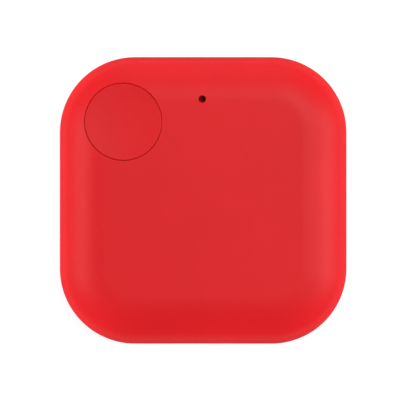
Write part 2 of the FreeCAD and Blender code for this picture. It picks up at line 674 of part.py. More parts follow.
def switch_frame():
    """Pressed metal cover that keeps the plunger in."""
    low = BOARD_HIGH + SWITCH_BASE_HEIGHT
    side = SWITCH_SIDE - 2 * SWITCH_FRAME_INSET
    cover = plate(BUTTON_X, BUTTON_Y, side, side, low, low + SWITCH_FRAME_THICKNESS)
    return rounded(cover, SWITCH_ROUND).cut(rod(BUTTON_X, BUTTON_Y, SWITCH_FRAME_HOLE, 0, FAR))


# ---- Buzzer: a magnetic transducer in a square case ----
def buzzer_base():
    return plate(BUZZER_X, BUZZER_Y, BUZZER_SIDE, BUZZER_SIDE, BOARD_HIGH, BUZZER_FLOOR)


def buzzer_case():
    case = plate(BUZZER_X, BUZZER_Y, BUZZER_SIDE, BUZZER_SIDE, BUZZER_FLOOR, BUZZER_TOP)
    case = rounded(case, BUZZER_ROUND)
    case = case.cut(rod(BUZZER_X, BUZZER_Y, BUZZER_CHAMBER_RADIUS, 0, BUZZER_TOP - BUZZER_ROOF))
    return case.cut(rod(HOLE_X, HOLE_Y, BUZZER_PORT_RADIUS, 0, FAR))


def buzzer_yoke():
    """Iron plate with the core that carries the coil."""
    disc_high = BUZZER_FLOOR + YOKE_THICKNESS
    core_high = BUZZER_FLOOR + CORE_HEIGHT
    outline = [(0, BUZZER_FLOOR), (YOKE_RADIUS, BUZZER_FLOOR), (YOKE_RADIUS, disc_high),
               (CORE_RADIUS, disc_high), (CORE_RADIUS, core_high), (0, core_high)]
    return turned(outline, BUZZER_X, BUZZER_Y)


def on_yoke(inner, outer, height):
    """Ring that stands on the yoke's disc."""
    low = BUZZER_FLOOR + YOKE_THICKNESS + HAIR
    return ring(BUZZER_X, BUZZER_Y, inner, outer, low, low + height)


def buzzer_coil():
    return on_yoke(CORE_RADIUS + HAIR, COIL_OUTER_RADIUS, COIL_HEIGHT)


def buzzer_magnet():
    return on_yoke(MAGNET_INNER_RADIUS, MAGNET_OUTER_RADIUS, MAGNET_HEIGHT)


def buzzer_spacer():
    """Ring on the magnet that carries the diaphragm's edge."""
    low = BUZZER_FLOOR + YOKE_THICKNESS + MAGNET_HEIGHT + 2 * HAIR
    return ring(BUZZER_X, BUZZER_Y, SPACER_INNER_RADIUS, BUZZER_CHAMBER_RADIUS - HAIR, low,
                BUZZER_FLOOR + SPACER_HIGH)


def buzzer_diaphragm():
    """Thin steel disc with a weight at its middle."""
    low = BUZZER_FLOOR + SPACER_HIGH + HAIR
    radius = BUZZER_CHAMBER_RADIUS - 2 * HAIR
    disc_high = low + DIAPHRAGM_THICKNESS
    weight_high = low + DIAPHRAGM_WEIGHT_HIGH
    outline = [(0, low), (radius, low), (radius, disc_high), (DIAPHRAGM_WEIGHT_RADIUS, disc_high),
               (DIAPHRAGM_WEIGHT_RADIUS, weight_high), (0, weight_high)]
    return turned(outline, BUZZER_X, BUZZER_Y)


def buzzer_terminals():
    return feet(BUZZER_X, BUZZER_Y, BUZZER_SIDE / 2, BUZZER_FOOT_LENGTH, BUZZER_FOOT_WIDTH, BUZZER_FOOT_ROW)


def buzzer_gasket():
    """Foam ring that joins the buzzer's port to the sound hole."""
    blank = ring(HOLE_X, HOLE_Y, GASKET_HOLE_RADIUS, GASKET_RADIUS, BUZZER_TOP, HEIGHT)
    return blank.common(case_solid(FRONT_WALL, 0.0))


# ---- Coin cell contacts ----
def negative_contact():
    """Springy strip from a foot on the board, over the cell's edge, to the middle of its top."""
    foot_z = BOARD_HIGH + FOOT / 2
    tip_z = CELL_LOW + CELL_HEIGHT + FOOT / 2 + 2 * HAIR
    path = [(NEGATIVE_FOOT, foot_z), (NEGATIVE_RISER, foot_z), (NEGATIVE_RISER, NEGATIVE_ARM_Z),
            (NEGATIVE_BEND, NEGATIVE_ARM_Z), (NEGATIVE_TIP, tip_z)]
    slit = block((0, -NEGATIVE_SPLIT / 2, 0), (NEGATIVE_SPLIT_END, NEGATIVE_SPLIT / 2, FAR))
    return placed(bent_strip(path, FOOT, NEGATIVE_WIDTH).cut(slit), CELL_X, CELL_Y, CRADLE_GAPS[0][0])


def positive_contact():
    """Angle strip whose upright leaf bows towards the side of the cell."""
    foot_z = BOARD_HIGH + FOOT / 2
    bow = POSITIVE_RISER - POSITIVE_TOUCH
    top = foot_z + 2 * bow
    path = [(POSITIVE_FOOT, foot_z), (POSITIVE_RISER, foot_z), (POSITIVE_RISER, top),
            (POSITIVE_TOUCH, top - bow / 2), (POSITIVE_TOUCH + bow / 3, top - bow)]
    return placed(bent_strip(path, FOOT, POSITIVE_WIDTH), CELL_X, CELL_Y, CRADLE_GAPS[1][0])


# ---- Coin cell: outlines are of radius and of height over the cell's lower face ----
def cell_part(outline):
    return turned([(r, CELL_LOW + z) for r, z in outline], CELL_X, CELL_Y)


def cell_can():
    """Positive can, its rim rolled in over the gasket, with a plus sign pressed into its base."""
    outer, inner = CELL_RADIUS, CELL_RADIUS - CELL_SHEET
    lip_low = CELL_CRIMP_HIGH - CELL_SHEET
    can = cell_part([(0, 0), (outer - CELL_HEEL, 0), (outer, CELL_HEEL), (outer, lip_low),
                     (outer - CELL_SHEET, CELL_CRIMP_HIGH), (outer - CELL_CRIMP, CELL_CRIMP_HIGH),
                     (outer - CELL_CRIMP, lip_low + HAIR), (inner, lip_low - HAIR),
                     (inner, CELL_HEEL + HAIR), (inner - CELL_HEEL / 2, CELL_SHEET), (0, CELL_SHEET)])
    for width, depth in ((CELL_MARK_LENGTH, CELL_MARK_WIDTH), (CELL_MARK_WIDTH, CELL_MARK_LENGTH)):
        can = can.cut(plate(CELL_X, CELL_Y, width, depth, 0, CELL_LOW + CELL_MARK_DEPTH))
    return can


def cell_gasket():
    """Insulating seal squeezed between the can and the cap's skirt."""
    inner = CELL_CAP_SKIRT_RADIUS + HAIR
    outer = CELL_RADIUS - CELL_SHEET - HAIR
    low = CELL_HEEL + HAIR
    high = CELL_CRIMP_HIGH - CELL_SHEET - 2 * HAIR
    return cell_part([(inner, low), (outer, low), (outer, high), (inner, high)])


def cell_cap():
    """Negative cap: flat land, a sloped shoulder and a skirt inside the gasket."""
    skirt_outer = CELL_CAP_SKIRT_RADIUS
    skirt_inner = skirt_outer - CELL_SHEET
    shoulder = CELL_CRIMP_HIGH - 2 * CELL_SHEET
    underside = CELL_HEIGHT - CELL_SHEET
    return cell_part([(0, CELL_HEIGHT), (CELL_LAND_RADIUS - CELL_SHEET / 2, CELL_HEIGHT),
                      (CELL_LAND_RADIUS, CELL_HEIGHT - CELL_SHEET / 2), (skirt_outer, shoulder),
                      (skirt_outer, CELL_HEEL + HAIR), (skirt_inner, CELL_HEEL + HAIR),
                      (skirt_inner, shoulder - CELL_SHEET / 2),
                      (CELL_LAND_RADIUS - CELL_SHEET, underside), (0, underside)])


def cell_layer(radius, low, height):
    return cell_part([(0, low), (radius, low), (radius, low + height), (0, low + height)])


CATHODE_LOW = CELL_SHEET + HAIR
SEPARATOR_LOW = CATHODE_LOW + CELL_CATHODE_HEIGHT + HAIR
ANODE_LOW = SEPARATOR_LOW + CELL_SEPARATOR_HEIGHT + HAIR


def cell_cathode():
    return cell_layer(CELL_FILL_RADIUS, CATHODE_LOW, CELL_CATHODE_HEIGHT)


def cell_separator():
    return cell_layer(CELL_FILL_RADIUS + CELL_CRIMP, SEPARATOR_LOW, CELL_SEPARATOR_HEIGHT)


def cell_anode():
    return cell_layer(CELL_FILL_RADIUS, ANODE_LOW, CELL_HEIGHT - CELL_SHEET - HAIR - ANODE_LOW)


NODES = [
    front_cover, rear_cover, button_cap, circuit_board, board_screws, antenna_trace, bluetooth_chip,
    chip_terminals, main_crystal, clock_crystal, capacitors, resistors, power_inductor, switch_base,
    switch_terminals, switch_dome, switch_plunger, switch_frame, buzzer_base, buzzer_case, buzzer_yoke,
    buzzer_coil, buzzer_magnet, buzzer_spacer, buzzer_diaphragm, buzzer_terminals, buzzer_gasket,
    negative_contact, positive_contact, cell_can, cell_gasket, cell_cap, cell_cathode, cell_separator,
    cell_anode,
]


def main():
    """Writes one STEP file for each node, under the name of the function that makes it."""
    os.makedirs("parts", exist_ok=True)
    for make in NODES:
        make().exportStep(os.path.join("parts", make.__name__ + ".step"))


main()
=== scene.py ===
import math

import bmesh
import bpy
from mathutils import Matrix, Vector


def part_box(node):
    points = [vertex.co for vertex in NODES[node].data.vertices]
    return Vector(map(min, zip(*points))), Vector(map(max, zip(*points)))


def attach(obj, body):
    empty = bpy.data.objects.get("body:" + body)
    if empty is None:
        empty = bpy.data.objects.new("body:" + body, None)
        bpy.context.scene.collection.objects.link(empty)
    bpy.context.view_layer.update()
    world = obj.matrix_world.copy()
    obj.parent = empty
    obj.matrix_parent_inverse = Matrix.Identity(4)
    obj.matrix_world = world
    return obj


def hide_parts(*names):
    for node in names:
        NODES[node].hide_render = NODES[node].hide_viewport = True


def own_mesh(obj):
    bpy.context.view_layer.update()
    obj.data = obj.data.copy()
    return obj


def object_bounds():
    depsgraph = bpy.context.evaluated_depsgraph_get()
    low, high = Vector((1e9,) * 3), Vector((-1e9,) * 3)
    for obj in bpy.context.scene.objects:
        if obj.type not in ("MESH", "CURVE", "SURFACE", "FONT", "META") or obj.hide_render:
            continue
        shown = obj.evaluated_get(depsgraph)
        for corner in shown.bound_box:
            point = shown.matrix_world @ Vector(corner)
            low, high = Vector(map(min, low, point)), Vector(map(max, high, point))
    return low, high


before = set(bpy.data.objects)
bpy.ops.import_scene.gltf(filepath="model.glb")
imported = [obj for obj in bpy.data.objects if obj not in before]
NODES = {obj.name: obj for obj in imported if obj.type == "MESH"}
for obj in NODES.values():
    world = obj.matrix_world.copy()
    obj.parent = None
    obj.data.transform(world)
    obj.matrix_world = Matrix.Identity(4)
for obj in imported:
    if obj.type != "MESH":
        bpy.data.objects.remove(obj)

# Square Bluetooth tracker tag, lying on its rear face. Metres; lengths are given in millimetres
# times MM. +Z points out of the front face, +Y to the edge with the sound hole.

MM = 0.001
CAD_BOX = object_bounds()

# ---- Picture ----
PICTURE_WIDTH = 51.6 * MM           # what the camera sees across the middle of the tag
CAMERA_HEIGHT = 900 * MM
CAMERA_X = -0.41 * MM               # the tag sits a little right of the picture's middle
CAMERA_Y = 0.05 * MM
SENSOR = 36.0

# ---- Colours, linear ----
RED = (0.60, 0.0090, 0.0125)
MASK_GREEN = (0.004, 0.085, 0.024)
TRACK_GREEN = (0.012, 0.160, 0.040)
LAMINATE = (0.40, 0.33, 0.16)
GOLD = (0.86, 0.62, 0.26)
TIN = (0.74, 0.74, 0.73)
STEEL = (0.60, 0.60, 0.61)
NICKEL = (0.66, 0.63, 0.57)
COPPER = (0.62, 0.25, 0.10)

# ---- Sizes of the details on the board ----
FILM = 0.02 * MM                    # tracks and lands over the laminate
INK = 0.035 * MM                    # printed lines, over the tracks
TRACK_WIDTH = 0.2 * MM
VIA_INNER = 0.2 * MM
VIA_OUTER = 0.38 * MM
END_LENGTH = 0.24 * MM              # metal ends of the chip capacitors and resistors
END_EDGE = 0.05 * MM                # rounding of the capacitors' metal ends
FILLET = 0.22 * MM                  # how far solder runs out from an end
FILLET_TAPER = 0.25                 # how much each side of a fillet draws in as it runs out
FOOT_RISE = 0.11 * MM               # how far solder climbs the thin feet
INDUCTOR_RISE = 0.22 * MM
EYE = 0.02 * MM                     # hole left at the axis of a small turned shape
DOME_THICKNESS = 0.06 * MM
# Where the feet of the two cell contacts end: distance from the cell's axis, direction, width.
CONTACT_FEET = ((14.2 * MM, 135, 3.2 * MM), (12.6 * MM, 180, 2.6 * MM))

# ---- Finishes ----
RED_SPECULAR = 0.225
RED_GRAIN = 0.16 * MM
RED_FLOW = 9 * MM
RED_BLEED = 0.12                    # share of the light that runs under the red plastic's skin
BLEED_SCALE = 0.5 * MM
BLEED_RADIUS = (1.0, 0.12, 0.1)
LINE_DEPTH = 0.0008 * MM            # drawn or brushed lines in metal
WEAVE = 0.5 * MM                    # pitch of the laminate's glass cloth
WIRE = 0.08 * MM
CRYSTAL_LID = (2.70 * MM, 2.72 * MM)    # where the tray ends and where the lid begins

# ---- Levels ----
REAR_FLOOR = 0.8 * MM               # inner face of the rear cover's floor
BOARD_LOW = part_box("circuit_board")[0].z
BOARD_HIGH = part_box("circuit_board")[1].z


def middle(node):
    low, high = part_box(node)
    return (low + high) / 2


# ---- Node trees ----
class Tree:
    """A material's node tree, with one short call for each kind of node."""

    def __init__(self, name):
        self.material = bpy.data.materials.new(name)
        self.material.use_nodes = True
        self.nodes = self.material.node_tree.nodes
        self.shader = self.nodes["Principled BSDF"]
        coordinates = self.add("ShaderNodeTexCoord")
        self.place = coordinates.outputs["Object"]
        self.facing = coordinates.outputs["Normal"]

    def add(self, kind, **settings):
        node = self.nodes.new(kind)
        for key, value in settings.items():
            setattr(node, key, value)
        return node

    def feed(self, socket, value):
        """Links an output to a socket, or sets the socket to a plain value."""
        if isinstance(value, bpy.types.NodeSocket):
            self.material.node_tree.links.new(value, socket)
        elif isinstance(value, tuple) and len(value) == 3 and len(socket.default_value) == 4:
            socket.default_value = (*value, 1.0)
        else:
            socket.default_value = value

    def set(self, **values):
        """Sets sockets of the shader: Base_Color for Base Color, and so on."""
        for name, value in values.items():
            self.feed(self.shader.inputs[name.replace("_", " ")], value)

    def math(self, operation, a, b=0.0):
        node = self.add("ShaderNodeMath", operation=operation)
        self.feed(node.inputs[0], a)
        self.feed(node.inputs[1], b)
        return node.outputs[0]

    def vector(self, operation, a, b=(0.0, 0.0, 0.0)):
        node = self.add("ShaderNodeVectorMath", operation=operation)
        self.feed(node.inputs[0], a)
        self.feed(node.inputs[1], b)
        return node

    def along(self, x, y, z):
        """How far the place lies along a direction."""
        return self.vector("DOT_PRODUCT", self.place, (x, y, z)).outputs["Value"]

    def combined(self, x, y=0.0, z=0.0):
        node = self.add("ShaderNodeCombineXYZ")
        for socket, value in zip(node.inputs, (x, y, z)):
            self.feed(socket, value)
        return node.outputs[0]

    def radius(self, x, y):
        """Distance from the upright axis through (x, y)."""
        offset = self.vector("SUBTRACT", self.place, (x, y, 0.0)).outputs[0]
        flat = self.vector("MULTIPLY", offset, (1.0, 1.0, 0.0)).outputs[0]
        return self.vector("LENGTH", flat).outputs["Value"]

    def rings(self, *axes):
        """Place for a noise that runs in rings about the nearest of some upright axes."""
        nearest = self.radius(*axes[0])
        for x, y in axes[1:]:
            nearest = self.math("MINIMUM", nearest, self.radius(x, y))
        return self.combined(nearest, self.along(0.0, 0.0, 1.0))

    def ruled(self, degrees, stretch=0.02):
        """Place for a noise that runs in lines along a direction."""
        turn = math.radians(degrees)
        across = self.along(-math.sin(turn), math.cos(turn), 0.0)
        lengthwise = self.along(math.cos(turn) * stretch, math.sin(turn) * stretch, 0.0)
        return self.combined(across, lengthwise, self.along(0.0, 0.0, 1.0))

    def noise(self, size, detail=2.0, rough=0.5, where=None):
        """Noise from 0 to 1 whose blobs are about size metres across."""
        node = self.add("ShaderNodeTexNoise")
        self.feed(node.inputs["Vector"], where or self.place)
        self.feed(node.inputs["Scale"], 1 / size)
        self.feed(node.inputs["Detail"], detail)
        self.feed(node.inputs["Roughness"], rough)
        return node.outputs[0]

    def cells(self, size, feature="F1"):
        """Voronoi cells of about size metres: the distance from each cell's middle or edge."""
        node = self.add("ShaderNodeTexVoronoi", feature=feature)
        self.feed(node.inputs["Vector"], self.place)
        self.feed(node.inputs["Scale"], 1 / size)
        return node.outputs["Distance"]

    def wave(self, value, length):
        """Sine of a distance, from 0 to 1."""
        turns = self.math("MULTIPLY", value, 2 * math.pi / length)
        return self.ramp(self.math("SINE", turns), -1.0, 1.0)

    def ramp(self, value, low, high, to_low=0.0, to_high=1.0):
        """Carries a value from low..high to to_low..to_high, held at both ends."""
        node = self.add("ShaderNodeMapRange")
        for name, number in zip(("Value", "From Min", "From Max", "To Min", "To Max"),
                                (value, low, high, to_low, to_high)):
            self.feed(node.inputs[name], number)
        return node.outputs[0]

    def mix(self, share, a, b):
        node = self.add("ShaderNodeMix", data_type="RGBA")
        self.feed(node.inputs[0], share)
        self.feed(node.inputs[6], a)
        self.feed(node.inputs[7], b)
        return node.outputs[2]

    def bump(self, height, distance, under=None):
        """Bump whose height of 1 stands distance metres proud, on top of another bump."""
        node = self.add("ShaderNodeBump")
        self.feed(node.inputs["Distance"], distance)
        self.feed(node.inputs["Height"], height)
        if under:
            self.feed(node.inputs["Normal"], under)
        return node.outputs[0]

    def bleed(self, share):
        """Lets a share of the light run a short way under the surface, the red the farthest."""
        self.set(Subsurface_Weight=share, Subsurface_Scale=BLEED_SCALE, Subsurface_Radius=BLEED_RADIUS)

    def faces_up(self):
        """1 on level faces, 0 on upright ones."""
        upward = self.vector("DOT_PRODUCT", self.facing, (0.0, 0.0, 1.0)).outputs["Value"]
        return self.ramp(self.math("ABSOLUTE", upward), 0.6, 0.8)


def tinted(colour, amount):
    return tuple(min(channel * amount, 1.0) for channel in colour)


# ---- Materials: plastics ----
def moulded(name, colour, roughness, specular, grain, depth, flow=2 * MM, spread=0.04, bleed=0.0):
    """Moulded plastic: fine tool grain over wide, faint flow marks."""
    tree = Tree(name)
    clouds = tree.noise(flow, detail=3.0)
    skin = tree.noise(grain, detail=2.0, rough=0.6)
    tree.set(Base_Color=tree.mix(tree.ramp(clouds, 0.3, 0.7), tinted(colour, 1 - spread),
                                 tinted(colour, 1 + spread)))
    tree.set(Roughness=tree.ramp(skin, 0.3, 0.7, roughness - 0.04, roughness + 0.04))
    tree.set(Normal=tree.bump(skin, depth, under=tree.bump(clouds, 1.5 * depth)))
    tree.set(Specular_IOR_Level=specular)
    if bleed:
        tree.bleed(bleed)
    return tree.material


def scuffed_red():
    """The red plastic where the tag lies on tables: fine straight scratches in two directions."""
    tree = Tree("scuffed_red")
    clouds = tree.noise(RED_FLOW, detail=3.0)
    skin = tree.noise(RED_GRAIN, detail=2.0, rough=0.6)
    lines = tree.math("MAXIMUM", tree.noise(0.12 * MM, where=tree.ruled(28)),
                      tree.noise(0.15 * MM, where=tree.ruled(-51)))
    patches = tree.ramp(tree.noise(6 * MM), 0.45, 0.6)
    scratch = tree.math("MULTIPLY", tree.ramp(lines, 0.7, 0.78), patches)
    base = tree.mix(tree.ramp(clouds, 0.3, 0.7), tinted(RED, 0.96), tinted(RED, 1.04))
    tree.set(Base_Color=tree.mix(tree.math("MULTIPLY", scratch, 0.25), base, (0.72, 0.06, 0.065)))
    tree.set(Roughness=tree.ramp(tree.math("ADD", skin, scratch), 0.3, 1.4, 0.40, 0.60))
    tree.set(Normal=tree.bump(tree.math("SUBTRACT", skin, scratch), 0.005 * MM))
    tree.set(Specular_IOR_Level=RED_SPECULAR)
    tree.bleed(RED_BLEED)
    return tree.material


def epoxy_black():
    """Chip moulding compound: nearly black, with pale filler grains."""
    tree = Tree("chip_epoxy")
    filler = tree.cells(0.07 * MM)
    sparkle = tree.ramp(filler, 0.10, 0.16, 1.0, 0.0)
    clouds = tree.noise(0.8 * MM)
    body = tree.mix(clouds, (0.014, 0.014, 0.015), (0.022, 0.022, 0.023))
    tree.set(Base_Color=tree.mix(tree.math("MULTIPLY", sparkle, 0.5), body, (0.07, 0.07, 0.072)))
    tree.set(Roughness=tree.ramp(clouds, 0.3, 0.7, 0.52, 0.64))
    tree.set(Normal=tree.bump(filler, 0.006 * MM))
    return tree.material


def open_foam():
    """Dark foam with open cells, whose hollows are painted darker as shade."""
    tree = Tree("open_foam")
    cells = tree.cells(0.14 * MM, feature="DISTANCE_TO_EDGE")
    wall = tree.ramp(cells, 0.03, 0.14, 1.0, 0.0)
    # Painted shade: the cells' hollows are about a sixth as bright as the walls between them.
    tree.set(Base_Color=tree.mix(wall, (0.008, 0.008, 0.009), (0.050, 0.050, 0.053)), Roughness=0.95)
    tree.set(Normal=tree.bump(wall, 0.05 * MM))
    return tree.material


def felted(name, colour):
    """Pressed fibres that lie every way."""
    tree = Tree(name)
    fibres = tree.math("MAXIMUM", tree.noise(0.03 * MM, where=tree.ruled(15, 0.08)),
                       tree.noise(0.03 * MM, where=tree.ruled(105, 0.08)))
    tree.set(Base_Color=tree.mix(tree.ramp(fibres, 0.45, 0.75), tinted(colour, 0.8), colour))
    tree.set(Roughness=0.9, Normal=tree.bump(fibres, 0.02 * MM))
    return tree.material


def granular(name, dark, pale, size, roughness, metallic=0.0):
    """Pressed or sintered grains: battery mix, ferrite or ceramic."""
    tree = Tree(name)
    grains = tree.cells(size)
    clouds = tree.noise(12 * size)
    tone = tree.math("MULTIPLY", tree.ramp(grains, 0.1, 0.7), tree.ramp(clouds, 0.2, 0.8, 0.4, 1.0))
    tree.set(Base_Color=tree.mix(tone, dark, pale), Metallic=metallic)
    tree.set(Roughness=tree.ramp(clouds, 0.3, 0.7, roughness - 0.06, roughness + 0.06))
    tree.set(Normal=tree.bump(grains, 0.08 * size))
    return tree.material


# ---- Materials: board ----
def laminate_board():
    """Green solder mask over a faint glass weave; bare laminate with glass layers at the edges."""
    tree = Tree("solder_mask")
    weave = tree.math("MULTIPLY", tree.wave(tree.along(1.0, 0.0, 0.0), WEAVE),
                      tree.wave(tree.along(0.0, 1.0, 0.0), WEAVE))
    clouds = tree.noise(5 * MM, detail=3.0)
    mask = tree.mix(tree.ramp(tree.math("ADD", weave, clouds), 0.3, 1.3), tinted(MASK_GREEN, 0.85),
                    tinted(MASK_GREEN, 1.25))
    layers = tree.noise(0.06 * MM, detail=3.0, where=tree.combined(
        tree.along(0.1, 0.0, 0.0), tree.along(0.0, 0.1, 0.0), tree.along(0.0, 0.0, 1.0)))
    edge = tree.mix(tree.ramp(layers, 0.35, 0.65), tinted(LAMINATE, 0.6), tinted(LAMINATE, 1.2))
    level = tree.faces_up()
    tree.set(Base_Color=tree.mix(level, edge, mask))
    tree.set(Roughness=tree.ramp(level, 0.0, 1.0, 0.75, 0.30))
    tree.set(Normal=tree.bump(weave, 0.006 * MM, under=tree.bump(clouds, 0.03 * MM)))
    return tree.material


def masked_track():
    """Copper under the solder mask: the same gloss, a paler green with a little etch unevenness."""
    tree = Tree("masked_track")
    clouds = tree.noise(0.7 * MM, detail=3.0)
    tree.set(Base_Color=tree.mix(clouds, tinted(TRACK_GREEN, 0.85), tinted(TRACK_GREEN, 1.2)))
    tree.set(Roughness=tree.ramp(clouds, 0.3, 0.7, 0.26, 0.36))
    tree.set(Normal=tree.bump(clouds, 0.01 * MM))
    return tree.material


def printed_ink():
    tree = Tree("printed_ink")
    specks = tree.noise(0.08 * MM, detail=3.0)
    tree.set(Base_Color=tree.mix(tree.ramp(specks, 0.35, 0.6), (0.60, 0.63, 0.58), (0.82, 0.83, 0.80)))
    tree.set(Roughness=0.6, Normal=tree.bump(specks, 0.008 * MM))
    return tree.material


# ---- Materials: metals ----
def metal(name, colour, roughness, where, width, clouds=0.8 * MM):
    """Bare metal with fine lines; where(tree) is the place that the lines are ruled over."""
    tree = Tree(name)
    lines = tree.noise(width, detail=4.0, rough=0.7, where=where(tree))
    haze = tree.noise(clouds, detail=3.0)
    tree.set(Base_Color=tree.mix(haze, tinted(colour, 0.95), tinted(colour, 1.05)), Metallic=1.0)
    sheen = tree.math("ADD", lines, haze)
    tree.set(Roughness=tree.ramp(sheen, 0.6, 1.4, roughness - 0.04, roughness + 0.05))
    tree.set(Normal=tree.bump(lines, LINE_DEPTH))
    return tree.material


def mottled_metal(name, colour, roughness, size, depth):
    """Plated or soldered metal: soft blotches and dimples, no lines."""
    tree = Tree(name)
    blotches = tree.noise(size, detail=4.0, rough=0.6)
    fine = tree.noise(size / 6)
    tone = tree.ramp(blotches, 0.3, 0.7)
    tree.set(Base_Color=tree.mix(tone, tinted(colour, 0.86), tinted(colour, 1.1)))
    tree.set(Metallic=1.0, Roughness=tree.ramp(blotches, 0.3, 0.7, roughness - 0.08, roughness + 0.12))
    tree.set(Normal=tree.bump(fine, depth / 4, under=tree.bump(blotches, depth)))
    return tree.material


def wound_wire():
    """Enamelled copper wire in level turns, with painted shade in the grooves between turns."""
    tree = Tree("wound_wire")
    turns = tree.wave(tree.along(0.0, 0.0, 1.0), WIRE)
    clouds = tree.noise(0.4 * MM)
    # Painted shade: each turn's colour darkens to a third of the copper towards the grooves between
    # turns.
    tree.set(Base_Color=tree.mix(turns, tinted(COPPER, 0.35), tree.mix(clouds, tinted(COPPER, 0.9),
                                                                      tinted(COPPER, 1.15))))
    tree.set(Metallic=0.85, Roughness=tree.ramp(clouds, 0.3, 0.7, 0.25, 0.35))
    tree.set(Normal=tree.bump(turns, 0.03 * MM))
    return tree.material


def lidded_ceramic():
    """Crystal package: a brown-grey ceramic tray with a brushed metal lid brazed on top."""
    tree = Tree("lidded_ceramic")
    lid = tree.ramp(tree.along(0.0, 0.0, 1.0), *CRYSTAL_LID)
    lines = tree.noise(0.03 * MM, detail=3.0, where=tree.ruled(0))
    specks = tree.cells(0.05 * MM)
    tray = tree.mix(tree.ramp(specks, 0.1, 0.6), (0.11, 0.09, 0.075), (0.17, 0.145, 0.12))
    plate = tree.mix(lines, tinted(NICKEL, 0.9), tinted(NICKEL, 1.1))
    tree.set(Base_Color=tree.mix(lid, tray, plate), Metallic=lid)
    tree.set(Roughness=tree.ramp(tree.math("MULTIPLY", lid, lines), 0.0, 0.7, 0.55, 0.30))
    tree.set(Normal=tree.bump(lines, 0.001 * MM))
    return tree.material


# ---- What each CAD node is made of ----
CELL_AXIS = middle("cell_can").to_2d()
BUZZER_AXIS = middle("buzzer_case").to_2d()
BUTTON_AXIS = middle("button_cap").to_2d()


def corners(points):
    low = Vector([min(p[i] for p in points) for i in range(3)])
    high = Vector([max(p[i] for p in points) for i in range(3)])
    return low, high


def islands(node):
    """Lowest and highest corner of each separate solid in a CAD node."""
    mesh = bmesh.new()
    mesh.from_mesh(NODES[node].data)
    bmesh.ops.remove_doubles(mesh, verts=mesh.verts, dist=0.001 * MM)
    seen = set()
    found = []
    for start in mesh.verts:
        if start in seen:
            continue
        seen.add(start)
        waiting = [start]
        points = []
        while waiting:
            vert = waiting.pop()
            points.append(vert.co.copy())
            for edge in vert.link_edges:
                other = edge.other_vert(vert)
                if other not in seen:
                    seen.add(other)
                    waiting.append(other)
        found.append(corners(points))
    mesh.free()
    return found


SCREW_AXES = [((low + high) / 2).to_2d() for low, high in islands("board_screws")]

RED_ABS = moulded("moulded_red", RED, 0.44, RED_SPECULAR, RED_GRAIN, 0.004 * MM, flow=RED_FLOW,
                  spread=0.03, bleed=RED_BLEED)
TINNED = mottled_metal("tinned", TIN, 0.30, 0.25 * MM, 0.02 * MM)
GILT = mottled_metal("gilt_land", GOLD, 0.28, 0.3 * MM, 0.006 * MM)
SWITCH_METAL = metal("switch_metal", STEEL, 0.26, lambda t: t.ruled(0), 0.03 * MM)
CONTACT = metal("rolled_strip", NICKEL, 0.24, lambda t: t.ruled(135), 0.04 * MM)
SIDE_CONTACT = metal("rolled_side_strip", NICKEL, 0.24, lambda t: t.ruled(0), 0.04 * MM)
SWITCH_BLACK = moulded("glass_filled_black", (0.022, 0.022, 0.024), 0.55, 0.4, 0.05 * MM, 0.003 * MM)
BUZZER_BLACK = moulded("buzzer_black", (0.018, 0.018, 0.019), 0.48, 0.4, 0.07 * MM, 0.004 * MM)
BOARD = laminate_board()
TRACK = masked_track()
